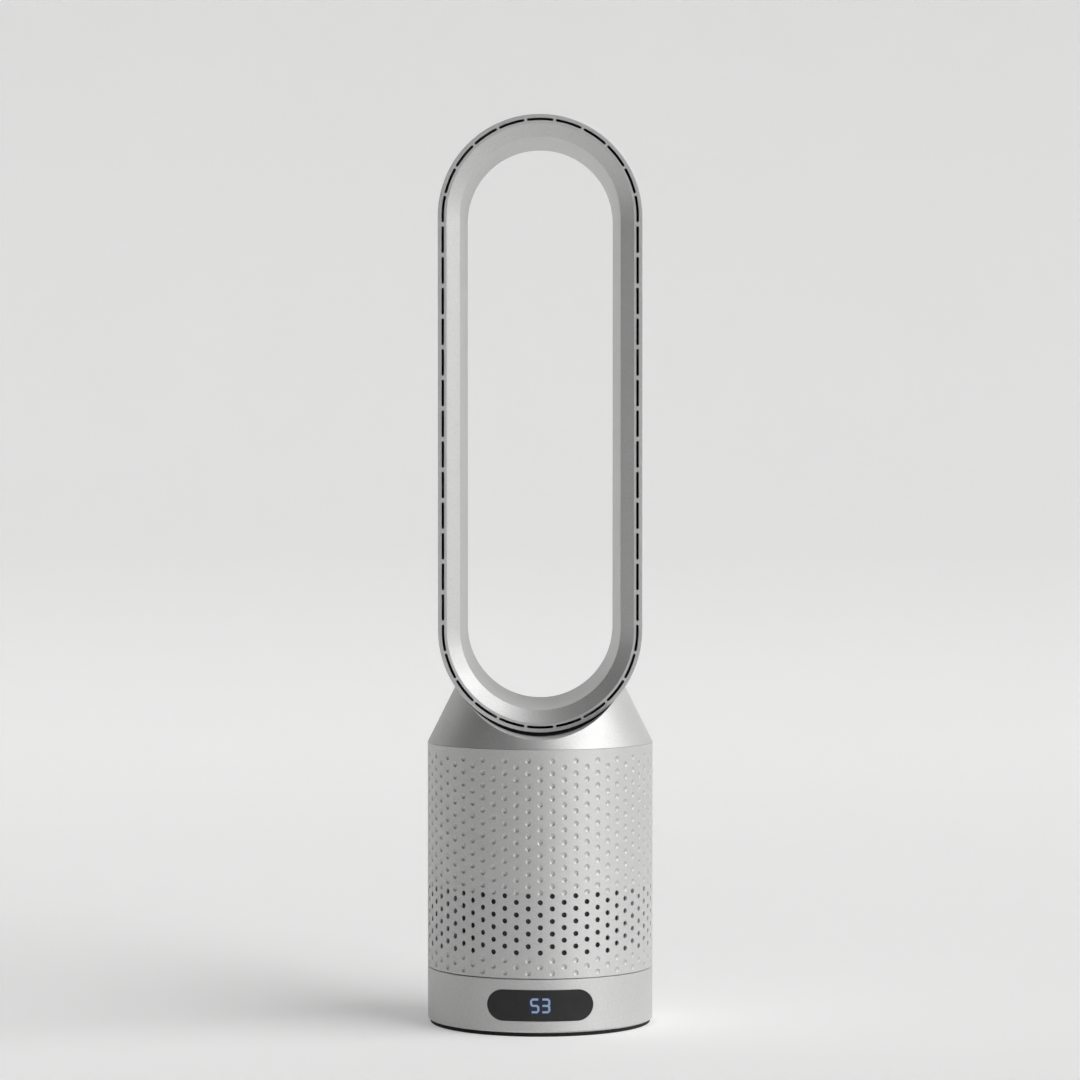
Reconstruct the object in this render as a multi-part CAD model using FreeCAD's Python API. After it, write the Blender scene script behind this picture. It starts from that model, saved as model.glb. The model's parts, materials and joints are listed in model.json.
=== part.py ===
"""Bladeless tower fan: slotted air loop on a swinging perforated column over a round base.

Row frame: millimetres, +Z up, front towards -Y, origin on the floor under the swing axis.
Each sub-part is written to parts/NAME.step.
"""
import FreeCAD
import Part
import math
import os

V = FreeCAD.Vector
UP = V(0, 0, 1)
ORIGIN = V(0, 0, 0)

# ---- driving dimensions, mm and degrees -------------------------------------------------------

# base
BODY_R = 112.0
FOOT_H = 3.8
FOOT_R = 109.5
SCREW_HEAD_R = 4.0
BASE_TOP = 56.0
BASE_ROUND = 2.0
BASE_WALL = 3.0
SEAM = 0.8
PLATE_T = 3.0
DECK_T = 3.0
BOSS_RING_R = 78.0
BOSS_R = 6.0
SCREW_R = 2.0

# mains inlet and power button
INLET_Z = 25.0
INLET_W = 24.0
INLET_H = 14.0
INLET_DEPTH = 26.0
BUTTON_X = 42.0
BUTTON_Z = 27.0
BUTTON_R = 7.0
BUTTON_GAP = 0.3

# display
WINDOW_HALF_W = 51.5
WINDOW_H = 30.4
WINDOW_Z = 30.5
WINDOW_GAP = 0.2
DIGIT_H = 14.4
DIGIT_W = 9.0
DIGIT_STROKE = 2.0
DIGIT_PITCH = 10.6
DIGIT_DEPTH = 1.2

# perforated column
COLUMN_H = 222.4
SHROUD_WALL = 3.0
SHROUD_GAP = 0.3
HOLE_COLUMNS = 60
HOLE_R = 2.5
HOLE_TOP_Z = 136.9
HOLE_PITCH = 12.24
HOLE_ROWS = 5
DIMPLE_R = 2.7
DIMPLE_DEPTH = 0.9
DIMPLE_UPPER_TOP_Z = 268.2
DIMPLE_UPPER_ROWS = 11
DIMPLE_PITCH = 12.18
DIMPLE_LOWER_TOP_Z = 74.2
DIMPLE_LOWER_ROWS = 2
FILTER_T = 9.0

# shoulder and loop
CONE_SLOPE = 0.5
CONE_H = 62.0
SHOULDER_WALL = 2.5
LOOP_R = 100.3
LOOP_STRAIGHT = 405.3
LOOP_DEPTH = 116.0
LOOP_RAISE = 12.8
LOOP_WALL = 2.2
RIM_W = 8.7
BEVEL_W = 12.7
BEVEL_DEPTH = 9.0
THROAT_W = 5.9
REAR_CHAMFER = 4.0
SADDLE_GAP = 4.0
SADDLE_FIT = 0.4
SADDLE_END = 45.6
SADDLE_GROOVE = 10.0
GASKET_T = 4.0
NECK_HALF_X = 34.0
NECK_HALF_Y = 38.0
LOOP_SCREW_X = 46.0
LOOP_SCREW_Y = 30.0
SLOT_OFFSET = 4.9
SLOT_W = 2.6
SLOT_L = 26.0
ARC_SLOTS = 11
ARC_STEP = 17.1
SIDE_SLOTS = 13

# swing drive
SWING_MODULE = 1.5
GEAR_TEETH = 80
PINION_TEETH = 16
GEAR_H = 5.6
BACKLASH = 0.16
PIVOT_R = 20.0
RUN_GAP = 0.05

# fan
IMPELLER_R = 62.0
IMPELLER_BLADES = 9
DIFFUSER_VANES = 11
SHAFT_R = 4.0
MOTOR_R = 32.0
LEAD_R = 2.2
LEAD_X = 82.0
LEAD_Y = 30.0

# ---- derived positions ------------------------------------------------------------------------

SHROUD_Z0 = BASE_TOP + SEAM
CREASE_Z = SHROUD_Z0 + COLUMN_H
LOOP_Z0 = CREASE_Z + LOOP_RAISE
LOW_C = LOOP_Z0 + LOOP_R
HIGH_C = LOW_C + LOOP_STRAIGHT
FRONT_Y = -LOOP_DEPTH / 2
REAR_Y = LOOP_DEPTH / 2
BEVEL_Y = FRONT_Y + BEVEL_DEPTH
BEVEL_R = LOOP_R - RIM_W - BEVEL_W
THROAT_R = BEVEL_R - THROAT_W
GROOVE_DROP = (SADDLE_GAP - SADDLE_FIT) / (1 - math.cos(math.radians(SADDLE_END)))
GROOVE_R = LOOP_R + SADDLE_GAP - GROOVE_DROP
FILTER_R = BODY_R - SHROUD_WALL - 0.5
CORE_R = FILTER_R - FILTER_T - 0.5
DECK_TOP = BASE_TOP - 6.0
DECK_Z0 = DECK_TOP - DECK_T
PLATE_R = BODY_R - BASE_WALL - 3.2
GEAR_R = SWING_MODULE * GEAR_TEETH / 2
PINION_R = SWING_MODULE * PINION_TEETH / 2
PINION_X = -(GEAR_R + PINION_R)
GEAR_Z0 = SHROUD_Z0 - GEAR_H
FAN_Z = SHROUD_Z0 + 93.0
POST_RING_R = CORE_R - 7.0
HUB_R = PIVOT_R + 8.0


# ---- helpers ----------------------------------------------------------------------------------

def cyl(radius, bottom, top, x=0.0, y=0.0):
    return Part.makeCylinder(radius, top - bottom, V(x, y, bottom))


def tube(outer, inner, bottom, top, x=0.0, y=0.0):
    return cyl(outer, bottom, top, x, y).cut(cyl(inner, bottom - 1, top + 1, x, y))


def cone(low_r, high_r, bottom, top):
    return Part.makeCone(low_r, high_r, top - bottom, V(0, 0, bottom))


def bar(radius, start, end):
    return Part.makeCylinder(radius, start.distanceToPoint(end), start, end - start)


def box(x0, x1, y0, y1, z0, z1):
    return Part.makeBox(x1 - x0, y1 - y0, z1 - z0, V(x0, y0, z0))


def join(shapes):
    return shapes[0].multiFuse(shapes[1:]).removeSplitter()


def turned(shape, degrees, centre=ORIGIN, axis=UP):
    copy = shape.copy()
    copy.rotate(centre, axis, degrees)
    return copy


def ring_of(shape, count, start=0.0):
    return [turned(shape, start + 360.0 * i / count) for i in range(count)]


def spun(points):
    """Solid of revolution about Z from a closed (r, z) outline; a 3-tuple item is an arc's middle."""
    edges = []
    last = points[0]
    middle = None
    for point in points[1:] + points[:1]:
        if len(point) == 3:
            middle = point
            continue
        start = V(last[0], 0, last[1])
        end = V(point[0], 0, point[1])
        if middle:
            edges.append(Part.Arc(start, V(middle[0], 0, middle[1]), end).toShape())
        else:
            edges.append(Part.makeLine(start, end))
        last = point
        middle = None
    return Part.Face(Part.Wire(edges)).revolve(ORIGIN, UP, 360)


def stadium(radius, y):
    top = Part.Arc(V(radius, y, HIGH_C), V(0, y, HIGH_C + radius), V(-radius, y, HIGH_C)).toShape()
    low = Part.Arc(V(-radius, y, LOW_C), V(0, y, LOW_C - radius), V(radius, y, LOW_C)).toShape()
    left = Part.makeLine(V(-radius, y, HIGH_C), V(-radius, y, LOW_C))
    right = Part.makeLine(V(radius, y, LOW_C), V(radius, y, HIGH_C))
    return Part.Wire([top, left, low, right])


def plug(stations):
    """Stadium prism or taper through (radius, y) stations."""
    pieces = []
    for (r0, y0), (r1, y1) in zip(stations, stations[1:]):
        if abs(r0 - r1) < 1e-6:
            pieces.append(Part.Face(stadium(r0, y0)).extrude(V(0, y1 - y0, 0)))
        else:
            pieces.append(Part.makeLoft([stadium(r0, y0), stadium(r1, y1)], True, True))
    return pieces[0] if len(pieces) == 1 else join(pieces)


def pill(half_w, height, z, y0, y1):
    r = height / 2
    side = half_w - r
    ends = [bar(r, V(x, y0, z), V(x, y1, z)) for x in (-side, side)]
    return join([box(-side, side, y0, y1, z - r, z + r)] + ends)


def screw(x, y, head_z, tip_z, head_r, shank_r):
    """Vertical screw: the head sits outside head_z, on the side away from tip_z."""
    away = 2.4 if head_z > tip_z else -2.4
    head = cyl(head_r, min(head_z, head_z + away), max(head_z, head_z + away), x, y)
    shank = cyl(shank_r, min(head_z, tip_z), max(head_z, tip_z), x, y)
    slot = box(x - head_r, x + head_r, y - 0.5, y + 0.5, head_z + away - 0.8, head_z + away + 0.8)
    return join([head, shank]).cut(slot)


def involute_gear(teeth, module, bottom, top, backlash):
    """Full-depth spur gear about Z with one tooth centred on +X, 20 degree pressure angle."""
    pitch_r = module * teeth / 2
    base_r = pitch_r * math.cos(math.radians(20))
    tip_r = pitch_r + module
    root_r = pitch_r - 1.25 * module

    def roll(r):
        t = math.sqrt(max((r / base_r) ** 2 - 1, 0))
        return t - math.atan(t)

    half = math.pi / (2 * teeth) - backlash / (4 * pitch_r) + roll(pitch_r)
    start_r = max(base_r, root_r)
    radii = [start_r + (tip_r - start_r) * i / 5 for i in range(6)]
    points = []
    for tooth in range(teeth):
        centre = 2 * math.pi * tooth / teeth
        flank = [(root_r, half - roll(start_r))] + [(r, half - roll(r)) for r in radii]
        if root_r >= base_r:
            flank = flank[1:]
        rising = [(r, centre - a) for r, a in flank]
        falling = [(r, centre + a) for r, a in reversed(flank)]
        points += [V(r * math.cos(a), r * math.sin(a), bottom) for r, a in rising + falling]
    outline = Part.Wire(Part.makePolygon(points + points[:1]))
    return Part.Face(outline).extrude(V(0, 0, top - bottom))


# ---- base -------------------------------------------------------------------------------------


def boss_spots():
    spots = []
    for angle in (50, 130, 230, 310):
        a = math.radians(angle)
        spots.append((BOSS_RING_R * math.cos(a), BOSS_RING_R * math.sin(a)))
    return spots


def window_prism(grow):
    return pill(WINDOW_HALF_W + grow, WINDOW_H + 2 * grow, WINDOW_Z, -BODY_R - 5, 0)


def base_shell():
    inner = BODY_R - BASE_WALL
    low = FOOT_H
    bend = BASE_ROUND * (1 - math.sqrt(0.5))
    lip = 0.6
    outline = [
        (PLATE_R + 0.2, low),
        (BODY_R - BASE_ROUND, low),
        (BODY_R - bend, low + bend, "arc"),
        (BODY_R, low + BASE_ROUND),
        (BODY_R, BASE_TOP - lip),
        (BODY_R - lip, BASE_TOP),
        (inner - 9, BASE_TOP),
        (inner - 9, BASE_TOP - 3),
        (inner, BASE_TOP - 3),
        (inner, low + PLATE_T + 0.5),
        (PLATE_R + 0.2, low + PLATE_T + 0.5),
    ]
    shell = spun(outline)
    socket = box(-INLET_W / 2 - 0.2, INLET_W / 2 + 0.2, 0, BODY_R + 5,
                 INLET_Z - INLET_H / 2 - 0.2, INLET_Z + INLET_H / 2 + 0.2)
    button_line = [V(BUTTON_X, 60, BUTTON_Z), V(BUTTON_X, BODY_R, BUTTON_Z)]
    button_hole = bar(BUTTON_R + BUTTON_GAP, *button_line)
    return shell.cut([window_prism(WINDOW_GAP), socket, button_hole])


def base_plate():
    disc = cyl(PLATE_R, FOOT_H, FOOT_H + PLATE_T)
    holes = [cyl(SCREW_R + 0.3, 0, 20, x, y) for x, y in boss_spots()]
    return disc.cut(holes)


def foot_mat():
    mat = cone(FOOT_R - 0.6, FOOT_R, 0, 0.6).fuse(cyl(FOOT_R, 0.6, FOOT_H))
    wells = [cyl(SCREW_HEAD_R + 1.5, -1, FOOT_H + 1, x, y) for x, y in boss_spots()]
    return mat.removeSplitter().cut(wells)


def base_deck():
    disc = cyl(BODY_R - BASE_WALL - 0.2, DECK_Z0, DECK_TOP)
    post = cyl(PIVOT_R, DECK_Z0 - 12, SHROUD_Z0 + 16)
    bosses = [cyl(BOSS_R, FOOT_H + PLATE_T, DECK_Z0, x, y) for x, y in boss_spots()]
    bore = cyl(PIVOT_R - 8, 0, CREASE_Z)
    pilots = [cyl(SCREW_R, 0, DECK_Z0 - 4, x, y) for x, y in boss_spots()]
    drive_hole = cyl(PINION_R + 3, DECK_Z0 - 1, DECK_TOP + 1, PINION_X)
    return join([disc, post] + bosses).cut([bore, drive_hole] + pilots)


def base_screws():
    return Part.makeCompound([
        screw(x, y, FOOT_H, DECK_Z0 - 6, SCREW_HEAD_R, SCREW_R) for x, y in boss_spots()])


def thrust_ring():
    ring = tube(97, 90, DECK_TOP, SHROUD_Z0)
    grooves = [turned(box(85, 100, -1, 1, SHROUD_Z0 - 1.5, SHROUD_Z0 + 1), 30 * i) for i in range(12)]
    return ring.cut(grooves)


def hub_retainer():
    top = SHROUD_Z0 + 16
    return tube(PIVOT_R + 6, PIVOT_R - 8, top, top + 3)


def curved_slab(outer, inner, prism):
    return tube(outer, inner, 0, BASE_TOP).common(prism)


def digit_segments(names, x_centre):
    """Lit bars of one seven-segment digit with rounded ends, as prisms along Y."""
    s = DIGIT_STROKE / 2
    w = DIGIT_W / 2 - s
    h = DIGIT_H / 2 - s
    ends = {
        "a": ((-w, h), (w, h)),
        "b": ((w, h), (w, 0)),
        "c": ((w, 0), (w, -h)),
        "d": ((-w, -h), (w, -h)),
        "e": ((-w, 0), (-w, -h)),
        "f": ((-w, h), (-w, 0)),
        "g": ((-w, 0), (w, 0)),
    }
    bars = []
    for name in names:
        (x0, z0), (x1, z1) = ends[name]
        flat = z0 == z1
        wide = 0 if flat else s
        tall = s if flat else 0
        bars.append(box(
            x_centre + min(x0, x1) - wide, x_centre + max(x0, x1) + wide, -BODY_R - 5, 0,
            WINDOW_Z + min(z0, z1) - tall, WINDOW_Z + max(z0, z1) + tall))
        for x, z in ends[name]:
            foot = V(x_centre + x, -BODY_R - 5, WINDOW_Z + z)
            bars.append(bar(s, foot, V(foot.x, 0, foot.z)))
    return join(bars)


def tens_prism():
    return digit_segments("afgcd", -DIGIT_PITCH / 2)


def ones_prism():
    return digit_segments("abgcd", DIGIT_PITCH / 2)


def display_window():
    slab = curved_slab(BODY_R - 0.1, BODY_R - BASE_WALL, window_prism(0))
    floor_r = BODY_R - 0.1 - DIGIT_DEPTH
    return slab.cut([curved_slab(BODY_R + 1, floor_r, p) for p in (tens_prism(), ones_prism())])


def digit(prism):
    return curved_slab(BODY_R - 0.1, BODY_R - 0.1 - DIGIT_DEPTH, prism)


def display_board():
    board_y = -(BODY_R - 18)
    board = box(-42, 42, board_y, board_y + 1.6, WINDOW_Z - 13, WINDOW_Z + 13)
    chip = box(-16, -4, board_y + 1.6, board_y + 3.2, WINDOW_Z - 6, WINDOW_Z + 6)
    plug_block = box(8, 22, board_y + 1.6, board_y + 7, WINDOW_Z - 4, WINDOW_Z + 4)
    return join([board, chip, plug_block])


def light_box():
    y0 = -(BODY_R - 12)
    y1 = -(BODY_R - 18)
    outer = box(-13, 13, y0 - 6, y1, WINDOW_Z - 10, WINDOW_Z + 10)
    inner = box(-11, 11, y0 - 7, y1 + 1, WINDOW_Z - 8, WINDOW_Z + 8)
    return outer.cut(inner)


def window_holder():
    back = -(BODY_R - 26)
    inside = cyl(BODY_R - BASE_WALL, 0, BASE_TOP)
    plates = [box(x, x + 2, -BODY_R, back, WINDOW_Z - 13, WINDOW_Z + 13) for x in (-44.2, 42.2)]
    return Part.makeCompound([plate.common(inside) for plate in plates])


def swing_motor():
    z1 = DECK_Z0
    can = cyl(24, z1 - 20, z1, PINION_X)
    nose = cyl(8, z1, z1 + 1.5, PINION_X)
    ears = box(PINION_X - 3.5, PINION_X + 3.5, -30, 30, z1 - 1.5, z1)
    bore = cyl(3.0, z1 - 15, DECK_TOP, PINION_X)
    return join([can, nose, ears]).cut(bore)


def swing_pinion():
    gear = involute_gear(PINION_TEETH, SWING_MODULE, GEAR_Z0 + 0.3, SHROUD_Z0 - 0.6, BACKLASH)
    meshed = turned(gear, 180.0 / PINION_TEETH)
    meshed.translate(V(PINION_X, 0, 0))
    shaft = cyl(3.0 - RUN_GAP, DECK_Z0 - 14, GEAR_Z0 + 1, PINION_X)
    collar = cyl(6.0, DECK_Z0 + 1.8, GEAR_Z0 + 0.3, PINION_X)
    return join([meshed, shaft, collar])


def power_board():
    board = box(38, 88, -34, 34, FOOT_H + PLATE_T + 5, FOOT_H + PLATE_T + 6.6)
    top = FOOT_H + PLATE_T + 6.6
    coil = box(44, 66, -26, -4, top, top + 18)
    capacitor = cyl(6, top, top + 22, 56, 12)
    terminals = box(70, 80, -12, 12, top, top + 9)
    legs = [cyl(2.5, FOOT_H + PLATE_T, FOOT_H + PLATE_T + 5, x, y) for x in (42, 84) for y in (-30, 30)]
    return join([board, coil, capacitor, terminals] + legs)


def mains_inlet():
    face_y = BODY_R - 2.0
    body = box(-INLET_W / 2, INLET_W / 2, face_y - INLET_DEPTH, face_y,
               INLET_Z - INLET_H / 2, INLET_Z + INLET_H / 2)
    lobes = [bar(4.4, V(x, face_y - 16, INLET_Z), V(x, face_y + 5, INLET_Z)) for x in (-4.3, 4.3)]
    recess = join(lobes + [box(-4.3, 4.3, face_y - 16, face_y + 5, INLET_Z - 3.2, INLET_Z + 3.2)])
    pins = [bar(1.2, V(x, face_y - 18, INLET_Z), V(x, face_y - 4, INLET_Z)) for x in (-4.3, 4.3)]
    return join([body.cut(recess)] + pins)


def power_button():
    edge_y = math.sqrt(BODY_R ** 2 - BUTTON_X ** 2)
    head = bar(BUTTON_R, V(BUTTON_X, edge_y - 9, BUTTON_Z), V(BUTTON_X, edge_y - 0.5, BUTTON_Z))
    dish = Part.makeSphere(30, V(BUTTON_X, edge_y + 28.6, BUTTON_Z))
    stem = bar(2.0, V(BUTTON_X, edge_y - 14, BUTTON_Z), V(BUTTON_X, edge_y - 9, BUTTON_Z))
    return join([head.cut(dish), stem])


def power_switch():
    edge_y = math.sqrt(BODY_R ** 2 - BUTTON_X ** 2)
    outer_r = BUTTON_R + 2.5
    wall_y = math.sqrt((BODY_R - BASE_WALL) ** 2 - (BUTTON_X + outer_r) ** 2)
    floor_y = edge_y - 15.6
    guide = bar(outer_r, V(BUTTON_X, floor_y - 1, BUTTON_Z), V(BUTTON_X, wall_y, BUTTON_Z))
    well = bar(BUTTON_R + BUTTON_GAP, V(BUTTON_X, floor_y, BUTTON_Z), V(BUTTON_X, BODY_R, BUTTON_Z))
    back = box(BUTTON_X - 8, BUTTON_X + 8, floor_y - 8, floor_y - 1, BUTTON_Z - 8, BUTTON_Z + 8)
    return join([back, guide]).cut(well)


# ---- turning column ---------------------------------------------------------------------------

def turntable():
    disc = cyl(FILTER_R - 0.3, SHROUD_Z0, SHROUD_Z0 + 3)
    sleeve = cyl(HUB_R, SHROUD_Z0 - 6, SHROUD_Z0 + 15.7)
    bore = cyl(PIVOT_R + RUN_GAP, 0, CREASE_Z)
    ribs = ring_of(box(HUB_R - 1, 70, -1.5, 1.5, SHROUD_Z0 + 3, SHROUD_Z0 + 6), 8, 22.5)
    return join([disc, sleeve] + ribs).cut(bore)


def swing_gear():
    gear = involute_gear(GEAR_TEETH, SWING_MODULE, GEAR_Z0, SHROUD_Z0, BACKLASH)
    return gear.cut(cyl(GEAR_R - 10, 0, CREASE_Z))


def chassis():
    low = tube(CORE_R, CORE_R - 12, SHROUD_Z0 + 3, SHROUD_Z0 + 11)
    high = tube(CORE_R, CORE_R - 12, CREASE_Z - 10, CREASE_Z - 0.2)
    post = box(POST_RING_R - 5, POST_RING_R + 5, -6, 6, SHROUD_Z0 + 8, CREASE_Z - 7)
    return join([low, high] + ring_of(post, 4, 45)).cut(magnet_discs())


def control_board():
    z = SHROUD_Z0 + 22
    board = box(-38, 38, 34, 76, z, z + 1.6)
    chip = box(-20, 0, 46, 62, z + 1.6, z + 4.4)
    driver = box(8, 30, 40, 58, z + 1.6, z + 9)
    legs = [cyl(2.5, SHROUD_Z0 + 3, z, x, y) for x in (-34, 34) for y in (38, 72)]
    return join([board, chip, driver] + legs)


def motor_lead():
    side = V(LEAD_X, LEAD_Y, 0)
    inward = side * ((IMPELLER_R + 11.6) / side.Length)
    path = [
        V(30, 52, SHROUD_Z0 + 32),
        V(30, 52, SHROUD_Z0 + 44),
        side + V(0, 0, SHROUD_Z0 + 60),
        side + V(0, 0, FAN_Z + 92),
        inward + V(0, 0, FAN_Z + 92),
    ]
    runs = [bar(LEAD_R, a, b) for a, b in zip(path, path[1:])]
    elbows = [Part.makeSphere(LEAD_R, p) for p in path[1:-1]]
    foot = box(26, 34, 48, 56, SHROUD_Z0 + 31, SHROUD_Z0 + 33)
    return join(runs + elbows + [foot])


def inlet_bell():
    mouth = IMPELLER_R - 12
    plate_r = CORE_R - 0.2
    outline = [
        (mouth, FAN_Z + 14),
        (mouth + 3.5, FAN_Z + 3.5, "arc"),
        (mouth + 14, FAN_Z),
        (plate_r, FAN_Z),
        (plate_r, FAN_Z + 3),
        (mouth + 15, FAN_Z + 3),
        (mouth + 5.5, FAN_Z + 6, "arc"),
        (mouth + 2.4, FAN_Z + 14),
    ]
    notch = box(POST_RING_R - 5.5, POST_RING_R + 30, -6.5, 6.5, FAN_Z - 5, FAN_Z + 10)
    lead_hole = cyl(LEAD_R + 0.4, FAN_Z - 1, FAN_Z + 5, LEAD_X, LEAD_Y)
    return spun(outline).cut(ring_of(notch, 4, 45) + [lead_hole])


def impeller_housing():
    mouth = IMPELLER_R - 12
    low = FAN_Z + 14
    mid = FAN_Z + 62
    gap = 1.0
    outline = [
        (mouth + gap, low),
        (IMPELLER_R + gap, mid),
        (IMPELLER_R + gap + 8, mid + 14),
        (IMPELLER_R + gap + 10.2, mid + 14),
        (IMPELLER_R + gap + 2.4, mid),
        (mouth + gap + 3, low),
    ]
    return spun(outline)


def impeller():
    low = FAN_Z + 14
    high = FAN_Z + 60
    mouth = IMPELLER_R - 12
    hub = spun([(SHAFT_R, low), (15, low), (30, low + 22), (44, high), (SHAFT_R, high)])

    def section(z, inner, outer, angle):
        a = math.radians(angle)
        along = V(math.cos(a), math.sin(a), 0)
        across = V(-math.sin(a), math.cos(a), 0)
        corners = [
            along * inner - across,
            along * outer - across,
            along * outer + across,
            along * inner + across,
        ]
        points = [c + V(0, 0, z) for c in corners]
        return Part.Wire(Part.makePolygon(points + points[:1]))

    blade = Part.makeLoft([
        section(low + 2, 12, mouth - 2.5, 0),
        section(low + 24, 26, mouth + 4, 26),
        section(high, 40, IMPELLER_R - 2.5, 46),
    ], True, True)
    return join([hub] + ring_of(blade, IMPELLER_BLADES))


def motor_shaft():
    rod = cyl(SHAFT_R, FAN_Z + 10, FAN_Z + 112)
    flat = box(SHAFT_R - 0.8, SHAFT_R + 2, -6, 6, FAN_Z + 9, FAN_Z + 13)
    return rod.cut(flat)


def impeller_nut():
    z = FAN_Z + 10.5
    corners = [math.radians(60 * i) for i in range(7)]
    points = [V(7 * math.cos(a), 7 * math.sin(a), z) for a in corners]
    block = Part.Face(Part.Wire(Part.makePolygon(points))).extrude(V(0, 0, 3.5))
    return block.cut(cyl(SHAFT_R, z - 1, z + 5))


def rotor():
    core = tube(16, SHAFT_R, FAN_Z + 74, FAN_Z + 100)
    slots = ring_of(box(14, 18, -1, 1, FAN_Z + 70, FAN_Z + 104), 8)
    return core.cut(slots)


def stator():
    z0 = FAN_Z + 73
    z1 = FAN_Z + 101
    yoke = tube(MOTOR_R, MOTOR_R - 4, z0, z1)
    tooth = box(18, MOTOR_R - 2, -3, 3, z0, z1)
    shoe = tube(20, 17, z0, z1).common(box(0, 30, -6, 6, z0, z1))
    return join([yoke] + ring_of(tooth, 6) + ring_of(shoe, 6))


def windings():
    z0 = FAN_Z + 75
    z1 = FAN_Z + 99
    sides = [box(20.6, 26.8, 3.1, 6.0, z0, z1), box(20.6, 26.8, -6.0, -3.1, z0, z1)]
    coils = []
    for side in sides:
        coils += ring_of(side, 6)
    return Part.makeCompound(coils)


def motor_case():
    z0 = FAN_Z + 63
    z1 = FAN_Z + 106
    can = cyl(MOTOR_R + 3, z0, z1).cut(cyl(MOTOR_R + 0.2, z0 + 2.5, z1 + 1))
    bore = cyl(SHAFT_R + 1.5, z0 - 1, z0 + 5)
    skirt = tube(44, MOTOR_R + 3, z0, z0 + 3)
    seat = tube(14, 11, z0 + 2.5, z0 + 9.7)
    return join([can, skirt, seat]).cut(bore)


def motor_bearing(z):
    ring = tube(11, SHAFT_R + RUN_GAP, z, z + 7)
    race = tube(8.7, 6.3, z - 1, z + 0.8)
    return ring.cut([race, race.translated(V(0, 0, 7.2))])


def bearing_holder(z):
    ring = tube(14, 11, z, z + 7)
    disc = tube(MOTOR_R, 14, z, z + 2)
    windows = ring_of(box(17, 28, -4, 4, z - 1, z + 3), 4, 45)
    return join([ring, disc]).cut(windows)


def tail_cone():
    z1 = FAN_Z + 106
    lid = spun([
        (SHAFT_R + 6, z1 + 10),
        (SHAFT_R + 6, z1 + 12),
        (MOTOR_R + 3, z1 + 2),
        (MOTOR_R + 3, z1),
        (MOTOR_R + 1, z1),
    ])
    return join([lid, cyl(SHAFT_R + 6, z1 + 10, z1 + 12)])


def diffuser():
    z0 = FAN_Z + 76
    z1 = CREASE_Z - 12
    low_r = IMPELLER_R + 9
    outer = [(low_r, z0), (low_r + 2.4, z0), (low_r + 2.4, z1), (low_r, z1)]
    vane = box(MOTOR_R + 3, low_r + 0.5, -0.9, 0.9, z0 + 4, z0 + 28)
    lean = turned(vane, 28, V(50, 0, z0 + 16), V(1, 0, 0))
    inside = tube(low_r + 1, MOTOR_R + 3, z0, z1)
    vanes = [piece.common(inside) for piece in ring_of(lean, DIFFUSER_VANES)]
    flange = tube(CORE_R - 12.2, low_r, z1 - 3, z1)
    return join([spun(outer), flange] + vanes)


def motor_mounts():
    cushion = tube(4, 1.6, CREASE_Z - 12, CREASE_Z - 0.2)
    cushion.translate(V(CORE_R - 17, 0, 0))
    return Part.makeCompound(ring_of(cushion, 4, 0))


# ---- shoulder ---------------------------------------------------------------------------------

def saddle_groove(grow, y0, y1):
    """Round cut set lower than the end of the loop, so its gap closes up the sides."""
    return bar(GROOVE_R + grow, V(0, y0, LOW_C - GROOVE_DROP), V(0, y1, LOW_C - GROOVE_DROP))


def saddle_void(grow):
    seat_r = LOOP_R + SADDLE_FIT + grow
    seat = plug([(seat_r, -2 * BODY_R), (seat_r, 2 * BODY_R)])
    return join([seat, saddle_groove(grow, -2 * BODY_R, FRONT_Y + SADDLE_GROOVE + grow)])


def shoulder_shell():
    top = CREASE_Z + CONE_H
    outer = cone(BODY_R, BODY_R - CONE_SLOPE * CONE_H, CREASE_Z, top)
    inset = SHOULDER_WALL
    inner = cone(BODY_R - inset, BODY_R - inset - CONE_SLOPE * (CONE_H + 1), CREASE_Z - 0.5, top + 0.5)
    skin = outer.cut(saddle_void(0))
    hollow = inner.cut(saddle_void(SHOULDER_WALL))
    neck = box(-NECK_HALF_X, NECK_HALF_X, -NECK_HALF_Y, NECK_HALF_Y, CREASE_Z, LOW_C)
    return largest(skin.cut(hollow).cut([neck] + loop_screw_holes(SCREW_R + 0.3)))


def largest(shape):
    return max(shape.Solids, key=lambda solid: solid.Volume)


def loop_screw_spots():
    return [(x, y) for x in (-LOOP_SCREW_X, LOOP_SCREW_X) for y in (-LOOP_SCREW_Y, LOOP_SCREW_Y)]


def loop_screw_holes(radius):
    return [cyl(radius, CREASE_Z - 5, LOW_C, x, y) for x, y in loop_screw_spots()]


def shoulder_floor():
    z = CREASE_Z - 0.2
    plate = cyl(BODY_R - SHOULDER_WALL - 1.8, z, z + 3)
    exit_hole = cyl(IMPELLER_R + 9, z - 1, z + 4)
    access = [cyl(5, z - 1, z + 4, x, y) for x, y in loop_screw_spots()]
    return plate.cut([exit_hole] + access)


def loop_gasket():
    y1 = FRONT_Y + SADDLE_GROOVE
    band = saddle_groove(0, y1 - GASKET_T, y1)
    bore = plug([(LOOP_R + 0.05, y1 - GASKET_T - 1), (LOOP_R + 0.05, y1 + 1)])
    envelope = cone(BODY_R - 1, BODY_R - 1 - CONE_SLOPE * CONE_H, CREASE_Z, CREASE_Z + CONE_H)
    return largest(band.cut(bore).common(envelope))


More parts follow.
